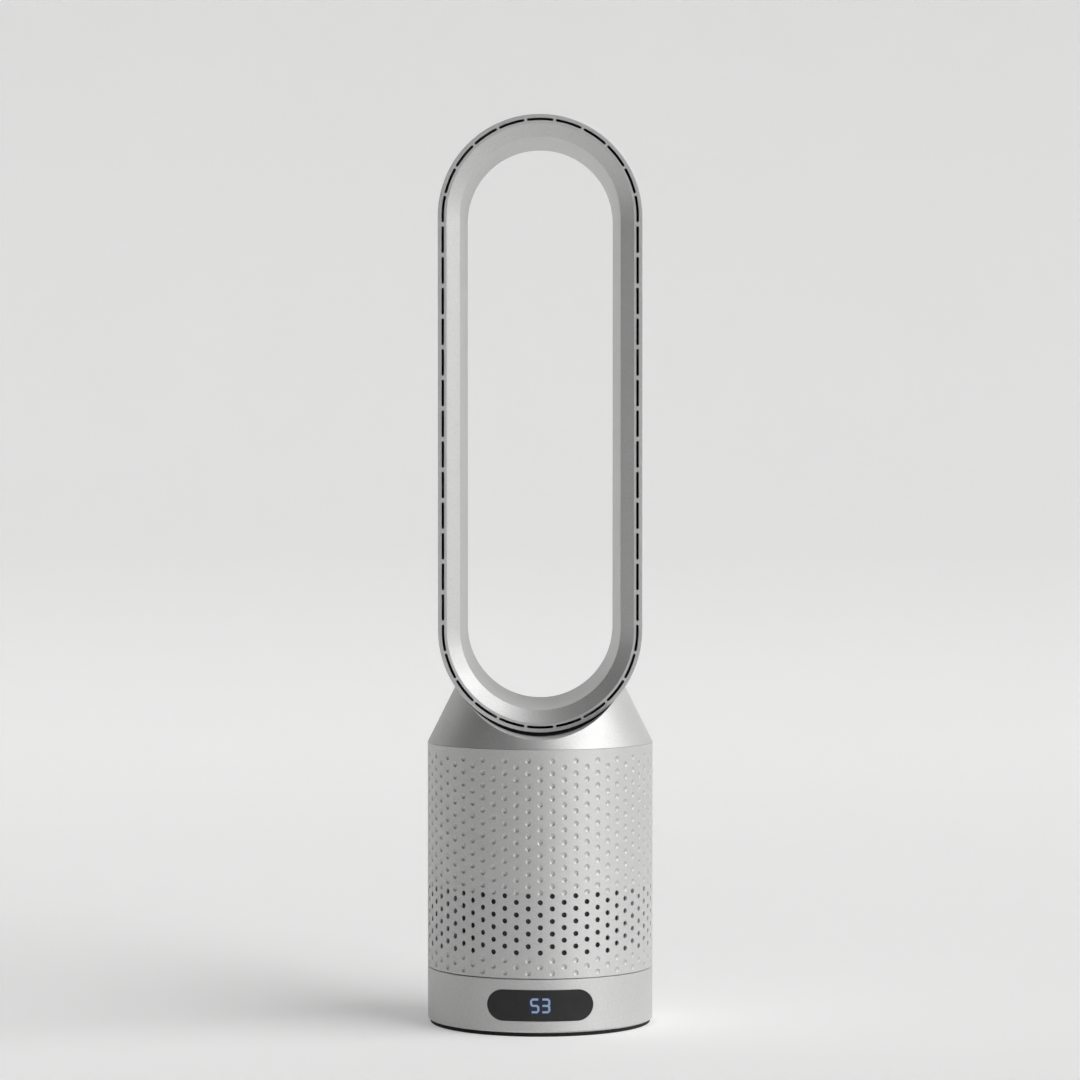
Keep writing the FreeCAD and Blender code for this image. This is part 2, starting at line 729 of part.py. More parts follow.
def neck_duct():
    low = CREASE_Z + 2.8
    wall = 2.0
    outer_x = NECK_HALF_X - 0.3
    outer_y = NECK_HALF_Y - 0.3
    inner_x = outer_x - wall
    inner_y = outer_y - wall
    outside = box(-outer_x, outer_x, -outer_y, outer_y, low, LOOP_Z0 + 9)
    inside = box(-inner_x, inner_x, -inner_y, inner_y, low - 1, LOW_C)
    flange = cyl(IMPELLER_R + 14, low, low + 2)
    duct_r = LOOP_R - LOOP_WALL - 0.2
    loop_duct = plug([(duct_r, FRONT_Y - 5), (duct_r, REAR_Y + 5)])
    neck_column = box(-outer_x, outer_x, -outer_y, outer_y, CREASE_Z, LOW_C)
    saddle = saddle_void(SHOULDER_WALL + 0.1).cut(neck_column)
    return largest(join([outside, flange]).cut([inside, saddle, loop_duct]))


# ---- loop -------------------------------------------------------------------------------------

def opening_plug():
    return plug([
        (LOOP_R - RIM_W, FRONT_Y),
        (BEVEL_R, BEVEL_Y),
        (THROAT_R, REAR_Y),
    ])


def inner_envelope():
    wall = 2.0
    return plug([
        (LOOP_R - RIM_W, FRONT_Y),
        (LOOP_R - RIM_W + 0.01, FRONT_Y + 2.4),
        (BEVEL_R + wall, BEVEL_Y + 1.3),
        (THROAT_R + wall, REAR_Y),
    ])


def loop_inner_shell():
    return inner_envelope().cut(opening_plug())


def loop_outer_shell():
    edge = 0.5
    outside = plug([
        (LOOP_R - edge, FRONT_Y),
        (LOOP_R, FRONT_Y + edge),
        (LOOP_R, REAR_Y - REAR_CHAMFER),
        (LOOP_R - REAR_CHAMFER, REAR_Y),
    ])
    hollow = plug([
        (LOOP_R - LOOP_WALL, FRONT_Y - 1),
        (LOOP_R - LOOP_WALL, REAR_Y - REAR_CHAMFER - 1),
        (LOOP_R - LOOP_WALL - REAR_CHAMFER, REAR_Y - LOOP_WALL),
    ])
    tail_y = REAR_Y - LOOP_WALL - 1
    through = plug([(THROAT_R + 2.3, tail_y), (THROAT_R + 2.3, REAR_Y + 1)])
    neck = box(-NECK_HALF_X, NECK_HALF_X, -NECK_HALF_Y, NECK_HALF_Y, CREASE_Z, LOOP_Z0 + 12)
    bosses = [cyl(5, LOOP_Z0, LOOP_Z0 + 24, x, y) for x, y in loop_screw_spots()]
    cavity = plug([(LOOP_R - 1, FRONT_Y + 4), (LOOP_R - 1, REAR_Y - 6)])
    kept = [boss.common(cavity) for boss in bosses]
    pilots = [cyl(SCREW_R, CREASE_Z, LOOP_Z0 + 20, x, y) for x, y in loop_screw_spots()]
    return join([outside.cut([hollow, through, neck])] + kept).cut(pilots)


def loop_screws():
    pieces = []
    for x, y in loop_screw_spots():
        seat = LOW_C - math.sqrt((LOOP_R + SADDLE_FIT + SHOULDER_WALL) ** 2 - (abs(x) - 4) ** 2)
        pieces.append(screw(x, y, seat - 0.2, LOOP_Z0 + 18, 3.8, SCREW_R))
    return Part.makeCompound(pieces)


def arc_slot(centre_z, angle):
    """One curved slot cutter; angle is from straight up (top end) or straight down (bottom end)."""
    mid_r = LOOP_R - SLOT_OFFSET
    half = math.degrees((SLOT_L - SLOT_W) / 2 / mid_r)
    y0 = FRONT_Y - 1
    depth = 6.0
    pie = Part.makeCylinder(mid_r + SLOT_W / 2, depth, V(0, y0, centre_z), V(0, 1, 0), 2 * half)
    band = pie.cut(Part.makeCylinder(mid_r - SLOT_W / 2, depth + 2, V(0, y0 - 1, centre_z), V(0, 1, 0)))
    middle = band.Solids[0].CenterOfMass
    at = math.degrees(math.atan2(middle.x, middle.z - centre_z))
    placed = turned(band, angle - at, V(0, 0, centre_z), V(0, 1, 0))
    caps = []
    for side in (-half, half):
        a = math.radians(angle + side)
        x = mid_r * math.sin(a)
        z = centre_z + mid_r * math.cos(a)
        caps.append(bar(SLOT_W / 2, V(x, y0, z), V(x, y0 + depth, z)))
    return join([placed] + caps)


def side_slot(x, z):
    half = (SLOT_L - SLOT_W) / 2
    y0 = FRONT_Y - 1
    y1 = y0 + 6
    middle = box(x - SLOT_W / 2, x + SLOT_W / 2, y0, y1, z - half, z + half)
    caps = [bar(SLOT_W / 2, V(x, y0, z + s), V(x, y1, z + s)) for s in (-half, half)]
    return join([middle] + caps)


def slot_cutters():
    cutters = []
    first = (ARC_SLOTS - 1) / 2
    for i in range(ARC_SLOTS):
        cutters.append(arc_slot(HIGH_C, (i - first) * ARC_STEP))
        cutters.append(arc_slot(LOW_C, 180 + (i - first) * ARC_STEP))
    mid_r = LOOP_R - SLOT_OFFSET
    overrun = math.radians(90 - first * ARC_STEP) * mid_r
    pitch = (LOOP_STRAIGHT + 2 * overrun) / (SIDE_SLOTS + 1)
    for i in range(SIDE_SLOTS):
        z = LOW_C - overrun + pitch * (i + 1)
        cutters += [side_slot(-mid_r, z), side_slot(mid_r, z)]
    return cutters


def nozzle_ring():
    outer = LOOP_R - LOOP_WALL - 0.1
    inner = LOOP_R - RIM_W + 0.1
    depth = 3.0
    blank = plug([(outer, FRONT_Y), (outer, FRONT_Y + depth)])
    bore = plug([(inner, FRONT_Y - 1), (inner, FRONT_Y + depth + 1)])
    return blank.cut(bore).cut(slot_cutters())


def air_lips():
    """Guide ring behind the rim that narrows the duct towards the slots."""
    front_r = LOOP_R - SLOT_OFFSET - SLOT_W / 2 - 0.3
    rear_r = front_r - 1.6
    wall = 1.2
    y0 = FRONT_Y + 3.0
    y1 = y0 + 15
    outside = plug([(front_r, y0), (rear_r, y1)])
    slope = (front_r - rear_r) / (y1 - y0)
    inside = plug([(front_r - wall + slope, y0 - 1), (rear_r - wall - slope, y1 + 1)])
    return outside.cut(inside)


def flow_splitter():
    """Wedge over the neck that sends half the air up each side of the loop."""
    high = LOW_C - THROAT_R + 5
    points = [V(0, -30, LOOP_Z0 + 12), V(14, -30, high), V(-14, -30, high)]
    face = Part.Face(Part.Wire(Part.makePolygon(points + points[:1])))
    wedge = face.extrude(V(0, 60, 0))
    return largest(wedge.cut(inner_envelope().fuse(opening_plug())))


# ---- perforated shroud and filter -------------------------------------------------------------

def radial(radius, inner, outer, angle, z):
    a = math.radians(angle)
    out = V(math.cos(a), math.sin(a), 0)
    return bar(radius, out * inner + V(0, 0, z), out * outer + V(0, 0, z))


def lattice(top_z, rows, dropped_rows, pitch):
    """Angle and height of each point of a staggered pattern, leaving out the two seam columns."""
    spots = []
    for column in range(HOLE_COLUMNS):
        angle = 270 + 360.0 * column / HOLE_COLUMNS
        odd = column % 2
        if abs(math.sin(math.radians(angle))) < 0.02:
            continue
        count = rows if odd else dropped_rows
        drop = 0 if odd else pitch / 2
        spots += [(angle % 360, top_z - drop - pitch * i) for i in range(count)]
    return spots


def through_holes(front):
    spots = lattice(HOLE_TOP_Z, HOLE_ROWS, HOLE_ROWS, HOLE_PITCH)
    picked = [s for s in spots if (s[0] > 180) == front]
    return [radial(HOLE_R, BODY_R - 20, BODY_R + 5, a, z) for a, z in picked]


def dimples(front):
    spots = lattice(DIMPLE_UPPER_TOP_Z, DIMPLE_UPPER_ROWS, DIMPLE_UPPER_ROWS, DIMPLE_PITCH)
    spots += lattice(DIMPLE_LOWER_TOP_Z, DIMPLE_LOWER_ROWS, DIMPLE_LOWER_ROWS - 1, DIMPLE_PITCH)
    picked = [s for s in spots if (s[0] > 180) == front]
    return [radial(DIMPLE_R, BODY_R - DIMPLE_DEPTH, BODY_R + 5, a, z) for a, z in picked]


def half(shape, front):
    gap = SHROUD_GAP / 2
    reach = 3 * BODY_R
    y0, y1 = (-reach, -gap) if front else (gap, reach)
    return shape.common(box(-reach, reach, y0, y1, 0, reach))


def shroud(front):
    wall = tube(BODY_R, BODY_R - SHROUD_WALL, SHROUD_Z0, CREASE_Z - 0.3)
    return half(wall, front).cut(through_holes(front) + dimples(front))


def cap_bands():
    return [(SHROUD_Z0 + 4, SHROUD_Z0 + 10), (CREASE_Z - 9, CREASE_Z - 3)]


def filter_media(front):
    (_, low), (high, _) = cap_bands()
    return half(tube(FILTER_R, FILTER_R - FILTER_T, low, high), front)


def filter_caps(front):
    rings = [tube(FILTER_R + 0.5, FILTER_R - FILTER_T, low, high) for low, high in cap_bands()]
    pockets = catch_discs(front)
    return half(Part.makeCompound(rings), front).cut(pockets)


def catch_angles(front):
    return (245, 295) if front else (65, 115)


def catch_discs(front):
    inner = FILTER_R - FILTER_T
    return [radial(2.2, inner + 0.1, inner + 2, a, sum(band) / 2)
            for a in catch_angles(front) for band in cap_bands()]


def magnet_discs():
    angles = catch_angles(True) + catch_angles(False)
    return [radial(2.2, CORE_R - 4, CORE_R - 0.1, a, sum(band) / 2)
            for a in angles for band in cap_bands()]


def build():
    parts = {
        "base_shell": base_shell(),
        "base_plate": base_plate(),
        "foot_mat": foot_mat(),
        "base_deck": base_deck(),
        "base_screws": base_screws(),
        "thrust_ring": thrust_ring(),
        "hub_retainer": hub_retainer(),
        "display_window": display_window(),
        "digit_tens": digit(tens_prism()),
        "digit_ones": digit(ones_prism()),
        "display_board": display_board(),
        "light_box": light_box(),
        "window_holder": window_holder(),
        "swing_motor": swing_motor(),
        "power_board": power_board(),
        "mains_inlet": mains_inlet(),
        "power_switch": power_switch(),
        "power_button": power_button(),
        "swing_pinion": swing_pinion(),
        "turntable": turntable(),
        "swing_gear": swing_gear(),
        "chassis": chassis(),
        "control_board": control_board(),
        "motor_lead": motor_lead(),
        "inlet_bell": inlet_bell(),
        "impeller_housing": impeller_housing(),
        "diffuser": diffuser(),
        "motor_mounts": motor_mounts(),
        "motor_case": motor_case(),
        "stator": stator(),
        "windings": windings(),
        "low_bearing": motor_bearing(FAN_Z + 65.5),
        "high_bearing": motor_bearing(FAN_Z + 101.2),
        "bearing_holder": bearing_holder(FAN_Z + 101.2),
        "tail_cone": tail_cone(),
        "impeller": impeller(),
        "motor_shaft": motor_shaft(),
        "impeller_nut": impeller_nut(),
        "rotor": rotor(),
        "shoulder_shell": shoulder_shell(),
        "shoulder_floor": shoulder_floor(),
        "loop_gasket": loop_gasket(),
        "neck_duct": neck_duct(),
        "loop_outer_shell": loop_outer_shell(),
        "loop_inner_shell": loop_inner_shell(),
        "nozzle_ring": nozzle_ring(),
        "air_lips": air_lips(),
        "flow_splitter": flow_splitter(),
        "loop_screws": loop_screws(),
        "front_shroud": shroud(True),
        "rear_shroud": shroud(False),
        "front_filter": filter_media(True),
        "rear_filter": filter_media(False),
        "front_filter_caps": filter_caps(True),
        "rear_filter_caps": filter_caps(False),
        "front_catches": Part.makeCompound(catch_discs(True)),
        "rear_catches": Part.makeCompound(catch_discs(False)),
        "shroud_magnets": Part.makeCompound(magnet_discs()),
    }
    return parts


os.makedirs("parts", exist_ok=True)
for name, shape in build().items():
    shape.exportStep("parts/" + name + ".step")
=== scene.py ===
"""Looks for the bladeless tower fan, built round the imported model. Metres, +Z up, front towards -Y."""
import json
import math

import bpy
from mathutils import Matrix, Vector


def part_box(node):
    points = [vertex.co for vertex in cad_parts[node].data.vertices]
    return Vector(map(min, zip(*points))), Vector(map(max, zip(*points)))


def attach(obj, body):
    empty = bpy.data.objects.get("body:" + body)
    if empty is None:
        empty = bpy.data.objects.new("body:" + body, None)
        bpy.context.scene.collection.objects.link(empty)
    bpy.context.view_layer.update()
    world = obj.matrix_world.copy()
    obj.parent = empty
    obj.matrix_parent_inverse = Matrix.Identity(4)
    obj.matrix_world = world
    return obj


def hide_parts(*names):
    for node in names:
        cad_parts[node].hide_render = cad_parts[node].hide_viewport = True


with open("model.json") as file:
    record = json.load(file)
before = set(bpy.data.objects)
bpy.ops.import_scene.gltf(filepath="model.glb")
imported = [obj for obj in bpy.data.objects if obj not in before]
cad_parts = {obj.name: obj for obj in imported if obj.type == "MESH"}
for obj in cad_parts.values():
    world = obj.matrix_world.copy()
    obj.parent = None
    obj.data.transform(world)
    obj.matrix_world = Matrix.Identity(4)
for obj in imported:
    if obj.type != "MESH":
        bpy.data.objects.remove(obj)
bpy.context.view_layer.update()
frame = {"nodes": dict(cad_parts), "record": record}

MM = 0.001

# the two lit numerals: distance between their middles, size and height above the floor
DIGIT_PITCH = 10.6 * MM
DIGIT_W = 9.0 * MM
DIGIT_H = 14.4 * MM
DIGIT_Z = 30.5 * MM

# sockets of Blender's mix node for colours, which has others for numbers and vectors
MIX_SHARE = 0
MIX_LOW = 6
MIX_HIGH = 7
MIX_RESULT = 2


# ---- materials --------------------------------------------------------------------------------

GRAIN_DEPTH = 0.2 * MM


def new_material(name):
    material = bpy.data.materials.new(name)
    material.use_nodes = True
    tree = material.node_tree
    shader = tree.nodes["Principled BSDF"]
    return material, tree, shader


def noise(tree, scale, detail=3.0, roughness=0.55):
    coords = tree.nodes.new("ShaderNodeTexCoord")
    node = tree.nodes.new("ShaderNodeTexNoise")
    node.inputs["Scale"].default_value = scale
    node.inputs["Detail"].default_value = detail
    node.inputs["Roughness"].default_value = roughness
    tree.links.new(coords.outputs["Object"], node.inputs["Vector"])
    return node.outputs["Fac"]


def maths(tree, operation, first, second=None):
    """One maths node; first and second are numbers or sockets."""
    node = tree.nodes.new("ShaderNodeMath")
    node.operation = operation
    for socket, value in zip(node.inputs, (first, second)):
        if value is None:
            continue
        if isinstance(value, (int, float)):
            socket.default_value = value
        else:
            tree.links.new(value, socket)
    return node.outputs[0]


def axes(tree, space="Object"):
    """X, Y and Z of the shaded point."""
    coords = tree.nodes.new("ShaderNodeTexCoord")
    split = tree.nodes.new("ShaderNodeSeparateXYZ")
    tree.links.new(coords.outputs[space], split.inputs[0])
    return split.outputs


def spread(tree, source, low, high, start=0.3, end=0.7):
    """Maps start..end of a value to low..high, which are two numbers or two colours."""
    ramp = tree.nodes.new("ShaderNodeMapRange")
    ramp.inputs["From Min"].default_value = start
    ramp.inputs["From Max"].default_value = end
    tree.links.new(source, ramp.inputs["Value"])
    if isinstance(low, (int, float)):
        ramp.inputs["To Min"].default_value = low
        ramp.inputs["To Max"].default_value = high
        return ramp.outputs["Result"]
    mix = tree.nodes.new("ShaderNodeMix")
    mix.data_type = "RGBA"
    mix.inputs[MIX_LOW].default_value = (*low, 1)
    mix.inputs[MIX_HIGH].default_value = (*high, 1)
    tree.links.new(ramp.outputs["Result"], mix.inputs[MIX_SHARE])
    return mix.outputs[MIX_RESULT]


def bump(tree, shader, height, strength):
    node = tree.nodes.new("ShaderNodeBump")
    node.inputs["Strength"].default_value = strength
    node.inputs["Distance"].default_value = GRAIN_DEPTH
    tree.links.new(height, node.inputs["Height"])
    tree.links.new(node.outputs["Normal"], shader.inputs["Normal"])


def grey(value):
    """A grey that is a little warm."""
    return (value, value * 0.998, value * 0.993)


def scaled(colour, share):
    return tuple(min(c * share, 1.0) for c in colour)


def metallic_paint(name, tone, roughness, metallic, fleck=0.035):
    """Silver flake paint: fine tone flecks, a slow mottle in the gloss and a faint orange-peel bump."""
    material, tree, shader = new_material(name)
    flecks = noise(tree, 900.0, 2.0)
    tone_out = spread(tree, flecks, grey(tone - fleck), grey(tone + fleck))
    tree.links.new(tone_out, shader.inputs["Base Color"])
    mottle = noise(tree, 38.0, 4.0)
    gloss = spread(tree, mottle, roughness - 0.035, roughness + 0.035)
    tree.links.new(gloss, shader.inputs["Roughness"])
    shader.inputs["Metallic"].default_value = metallic
    peel = noise(tree, 1500.0, 2.0)
    bump(tree, shader, peel, 0.10)
    return material


def plastic(name, tone, roughness, grain=0.08):
    material, tree, shader = new_material(name)
    mottle = spread(tree, noise(tree, 60.0), scaled(tone, 0.9), scaled(tone, 1.1))
    tree.links.new(mottle, shader.inputs["Base Color"])
    shader.inputs["Roughness"].default_value = roughness
    bump(tree, shader, noise(tree, 1200.0), grain)
    return material


def metal(name, tone, roughness):
    material, tree, shader = new_material(name)
    mottle = spread(tree, noise(tree, 90.0), scaled(tone, 0.9), tone)
    tree.links.new(mottle, shader.inputs["Base Color"])
    shader.inputs["Roughness"].default_value = roughness
    shader.inputs["Metallic"].default_value = 1.0
    bump(tree, shader, noise(tree, 700.0), 0.06)
    return material


def numeral_distance(tree):
    """Distance outside the two numerals' boxes, seen from the front."""
    here = axes(tree)
    from_middle = maths(tree, "ABSOLUTE", here["X"])
    across = maths(tree, "ABSOLUTE", maths(tree, "SUBTRACT", from_middle, DIGIT_PITCH / 2))
    up = maths(tree, "ABSOLUTE", maths(tree, "SUBTRACT", here["Z"], DIGIT_Z))
    beside = maths(tree, "SUBTRACT", across, DIGIT_W / 2)
    above = maths(tree, "SUBTRACT", up, DIGIT_H / 2)
    return maths(tree, "MAXIMUM", beside, above)


def smoked_gloss(name):
    """Dark glossy panel with a faint blue bloom round the lit numerals."""
    material, tree, shader = new_material(name)
    tone = spread(tree, noise(tree, 30.0), (0.016, 0.0165, 0.018), (0.024, 0.0245, 0.026))
    tree.links.new(tone, shader.inputs["Base Color"])
    shader.inputs["Roughness"].default_value = 0.24
    shader.inputs["Specular IOR Level"].default_value = 0.36
    blue = (0.0, 0.004, 0.026)
    black = (0.0, 0.0, 0.0)
    bloom = spread(tree, numeral_distance(tree), blue, black, 0.2 * MM, 2.2 * MM)
    tree.links.new(bloom, shader.inputs["Emission Color"])
    shader.inputs["Emission Strength"].default_value = 1.0
    return material


def lit(name, colour, strength):
    """Numeral that glows in its own colour."""
    material, tree, shader = new_material(name)
    body = scaled(colour, 0.25)
    grain = spread(tree, noise(tree, 400.0), scaled(body, 0.9), body)
    glow = spread(tree, noise(tree, 400.0), scaled(colour, 0.92), colour)
    tree.links.new(grain, shader.inputs["Base Color"])
    tree.links.new(glow, shader.inputs["Emission Color"])
    shader.inputs["Emission Strength"].default_value = strength
    shader.inputs["Roughness"].default_value = 0.5
    shader.inputs["Specular IOR Level"].default_value = 0.2
    return material


SILVER = metallic_paint("silver paint", 0.68, roughness=0.50, metallic=0.64, fleck=0.05)
SILVER_COLUMN = metallic_paint("silver column paint", 0.70, roughness=0.50, metallic=0.60, fleck=0.05)
# dimple insides: the column's silver made darker and a little less metallic, painted shade in the
# recesses
SHADED_CUP_PAINT = metallic_paint("silver dimple paint with painted shade", 0.62, roughness=0.50, metallic=0.58, fleck=0.05)
# hole walls: a lighter, non-metallic grey in place of the silver paint, painted light so the bores read
# as lit
PAINTED_LIGHT_HOLE_WALL = plastic("hole wall", (0.62, 0.62, 0.63), roughness=0.6)
RUBBER = plastic("black rubber", (0.008, 0.008, 0.009), roughness=0.85, grain=0.3)
WINDOW = smoked_gloss("smoked window")
DIGIT = lit("lit digit", (0.25, 0.34, 0.48), strength=0.85)
DARK = plastic("dark plastic", (0.035, 0.035, 0.038), roughness=0.55)
NYLON = plastic("white nylon", (0.62, 0.62, 0.60), roughness=0.45)
BUTTON = metallic_paint("button paint", 0.30, roughness=0.35, metallic=0.6)
STEEL = metal("steel", (0.56, 0.57, 0.59), roughness=0.3)
COPPER = metal("copper wire", (0.60, 0.28, 0.13), roughness=0.35)
BOARD = plastic("circuit board", (0.02, 0.13, 0.06), roughness=0.4)
SLEEVE = plastic("lead sleeve", (0.02, 0.02, 0.02), roughness=0.5)
PAPER = plastic("filter paper", (0.10, 0.105, 0.11), roughness=0.9, grain=0.5)

BY_SLOT = {
    "silver_shell": SILVER,
    "silver_perforated": SILVER_COLUMN,
    "black_rubber": RUBBER,
    "smoked_window": WINDOW,
    "lit_digit": DIGIT,
    "dark_plastic": DARK,
    "slippery_plastic": NYLON,
    "button_plastic": BUTTON,
    "steel": STEEL,
    "copper": COPPER,
    "circuit": BOARD,
    "lead_sleeve": SLEEVE,
    "filter_paper": PAPER,
}


def paint_nodes():
    for part in frame["record"]["subparts"]:
        node = frame["nodes"][part["node"]]
        node.data.materials.clear()
        node.data.materials.append(BY_SLOT[part["material_slot"]])


paint_nodes()


# ---- perforated shroud halves -----------------------------------------------------------------

# rows are counted down from the height of their top one; every other column sits half a pitch lower
SHROUD_WALL = 3.0 * MM
COLUMN_STEP = math.radians(6.0)
COLUMNS_A_SIDE = 14
SEAM_HALF = 0.15 * MM
HOLE_TOP = 136.9 * MM
HOLE_PITCH = 12.24 * MM
HOLE_ROWS = 5
DIMPLE_TOP = 268.2 * MM
DIMPLE_LOW_TOP = 74.2 * MM
DIMPLE_PITCH = 12.18 * MM
DIMPLE_ROWS = 11
RING_POINTS = 16
SIDE_POINTS = RING_POINTS // 4
SEAM_STEPS = 3
RIM_STEPS = 120
PAINT_SLOT = 0
# slot of the hole walls, which carry the lighter grey of painted light
PAINTED_LIGHT_WALL_SLOT = 1
# slot of the dimple insides, which carry painted shade
SHADED_CUP_SLOT = 2

# (radius, depth, slope) of each ring in millimetres; slope is how fast the surface rises outwards.
# A wall ring is (radius, depth). Columns from SIDE_FROM on, towards the seams, keep a straight bore
# nearly all the way through the wall.
HOLE_RINGS = [(2.85, 0.0, 0.0), (2.70, 0.05, 0.7), (2.55, 0.22, 2.0)]
HOLE_WALL_RINGS = [(2.50, 0.40), (2.50, 0.9), (3.40, 3.0)]
SIDE_WALL_RINGS = [(2.50, 0.40), (2.50, 2.6), (3.00, 3.0)]
SIDE_FROM = 8
DIMPLE_RINGS = [
    (2.85, 0.0, 0.0), (2.62, 0.12, 0.75), (2.05, 0.50, 0.55), (1.30, 0.76, 0.24), (0.60, 0.86, 0.08)]


class Skin:
    """Collects vertices, faces and one normal per face corner."""

    def __init__(self):
        self.points = []
        self.faces = []
        self.normals = []
        self.slots = []

    def add(self, point):
        self.points.append(point)
        return len(self.points) - 1

    def face(self, corners, normals, slot=PAINT_SLOT):
        self.faces.append(corners)
        self.normals.extend(normals)
        self.slots.append(slot)

    def strip(self, outer, outer_normals, inner, inner_normals, slot=PAINT_SLOT):
        """Ring of quads between two closed loops, outer one counter-clockwise from outside."""
        count = len(outer)
        for i in range(count):
            j = (i + 1) % count
            corners = (outer[i], outer[j], inner[j], inner[i])
            normals = (outer_normals[i], outer_normals[j], inner_normals[j], inner_normals[i])
            self.face(corners, normals, slot)

    def build(self, name, materials):
        mesh = bpy.data.meshes.new(name)
        mesh.from_pydata(self.points, [], self.faces)
        for material in materials:
            mesh.materials.append(material)
        mesh.polygons.foreach_set("material_index", self.slots)
        mesh.polygons.foreach_set("use_smooth", [True] * len(self.faces))
        mesh.normals_split_custom_set(self.normals)
        piece = bpy.data.objects.new(name, mesh)
        bpy.context.scene.collection.objects.link(piece)
        return piece


def column_features(odd):
    """Heights and kinds of one column's holes and dimples, from the bottom up."""
    drop = 0 if odd else 0.5
    low_dimples = 2 if odd else 1
    rows = [(HOLE_TOP - HOLE_PITCH * (drop + i), "hole") for i in range(HOLE_ROWS)]
    rows += [(DIMPLE_TOP - DIMPLE_PITCH * (drop + i), "dimple") for i in range(DIMPLE_ROWS)]
    rows += [(DIMPLE_LOW_TOP - DIMPLE_PITCH * (drop + i), "dimple") for i in range(low_dimples)]
    return sorted(rows)


def around_rectangle(a0, a1, z0, z1):
    """RING_POINTS points round a cell, counter-clockwise from its low right corner."""
    corners = [(a1, z0), (a1, z1), (a0, z1), (a0, z0)]
    points = []
    for (sa, sz), (ea, ez) in zip(corners, corners[1:] + corners[:1]):
        for i in range(SIDE_POINTS):
            points.append((sa + (ea - sa) * i / SIDE_POINTS, sz + (ez - sz) * i / SIDE_POINTS))
    return points


RING_ANGLES = [math.radians(-45 + 360 * i / RING_POINTS) for i in range(RING_POINTS)]
RING_TURNS = [(math.cos(t), math.sin(t)) for t in RING_ANGLES]


def ring(skin, radius, angle, height, ring_r, depth, slope):
    """One circle of a hole or dimple sunk below a cylinder, with its normals."""
    out = (math.cos(angle), math.sin(angle))
    side = (-out[1], out[0])
    ids = []
    normals = []
    for turn_x, turn_z in RING_TURNS:
        dx = ring_r * MM * turn_x
        reach = math.sqrt(radius * radius - dx * dx)
        away = reach - depth * MM
        x = out[0] * away + side[0] * dx
        y = out[1] * away + side[1] * dx
        ids.append(skin.add((x, y, height + ring_r * MM * turn_z)))
        normal = Vector((
            out[0] * reach / radius + side[0] * (dx / radius - slope * turn_x),
            out[1] * reach / radius + side[1] * (dx / radius - slope * turn_x),
            -slope * turn_z))
        normals.append(normal.normalized())
    return ids, normals


def inward(angle):
    """Normals of a hole wall, pointing to the hole's own axis."""
    side = (-math.sin(angle), math.cos(angle))
    return [Vector((-side[0] * x, -side[1] * x, -z)) for x, z in RING_TURNS]


def cell(skin, share, radius, angle, z0, z1, height, kind, wall_rings):
    """Outer and inner face of one rectangle of the wall with its hole or dimple."""
    border = around_rectangle(angle - COLUMN_STEP / 2, angle + COLUMN_STEP / 2, z0, z1)

    def shared(r, a, z):
        key = (round(r, 6), round(a, 6), round(z, 6))
        if key not in share:
            share[key] = skin.add((r * math.cos(a), r * math.sin(a), z))
        return share[key]

    outer = [shared(radius, a, z) for a, z in border]
    outer_normals = [Vector((math.cos(a), math.sin(a), 0)) for a, z in border]
    back_normals = [-n for n in outer_normals]
    last = outer
    last_normals = outer_normals
    for ring_r, depth, slope in HOLE_RINGS if kind == "hole" else DIMPLE_RINGS:
        ids, normals = ring(skin, radius, angle, height, ring_r, depth, slope)
        # the dimple's inner rings and floor take the darker paint: painted shade in the recess
        slot = SHADED_CUP_SLOT if kind == "dimple" and last is not outer else PAINT_SLOT
        skin.strip(last, last_normals, ids, normals, slot)
        last = ids
        last_normals = normals
    if kind == "hole":
        walls = inward(angle)
        for ring_r, depth in wall_rings:
            ids, _ = ring(skin, radius, angle, height, ring_r, depth, 0)
            # the bore walls take the lighter grey: painted light
            skin.strip(last, walls, ids, walls, PAINTED_LIGHT_WALL_SLOT)
            last = ids
    else:
        skin.face(tuple(last), last_normals, SHADED_CUP_SLOT)
    back = [shared(radius - SHROUD_WALL, a, z) for a, z in border]
    if kind == "hole":
        skin.strip(last, [-n for n in walls], back, back_normals)
    else:
        skin.face(tuple(reversed(back)), list(reversed(back_normals)))


def shroud_half(node, name, body, facing):
    """Half of the perforated wall; facing is the angle its middle column looks along."""
    low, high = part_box(node)
    z0, z1 = low[2], high[2]
    radius = max(abs(low[1]), abs(high[1]))
    skin = Skin()
    share = {}
    for k in range(-COLUMNS_A_SIDE, COLUMNS_A_SIDE + 1):
        angle = facing + COLUMN_STEP * k
        features = column_features(k % 2 == 1)
        wall_rings = SIDE_WALL_RINGS if abs(k) >= SIDE_FROM else HOLE_WALL_RINGS
        heights = [z for z, _ in features]
        cuts = [z0] + [(p + q) / 2 for p, q in zip(heights, heights[1:])] + [z1]
        for (height, kind), bottom, top in zip(features, cuts, cuts[1:]):
            cell(skin, share, radius, angle, bottom, top, height, kind, wall_rings)
    edge_strips(skin, radius, facing, z0, z1)
    rims(skin, radius, facing, z0, z1)
    piece = skin.build(name, [SILVER_COLUMN, PAINTED_LIGHT_HOLE_WALL, SHADED_CUP_PAINT])
    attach(piece, body)
    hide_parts(node)


def quad(skin, points, normals):
    skin.face(tuple(skin.add(p) for p in points), normals)


def upright(skin, tips, z0, z1, normals):
    """Upright quad over two points of the plan, each with its own normal."""
    (xa, ya), (xb, yb) = tips
    na, nb = normals
    quad(skin, [(xa, ya, z0), (xb, yb, z0), (xb, yb, z1), (xa, ya, z1)], [na, nb, nb, na])


def half_reach(radius):
    """Angle from a half's middle column to its seam face."""
    return math.pi / 2 - math.asin(SEAM_HALF / radius)


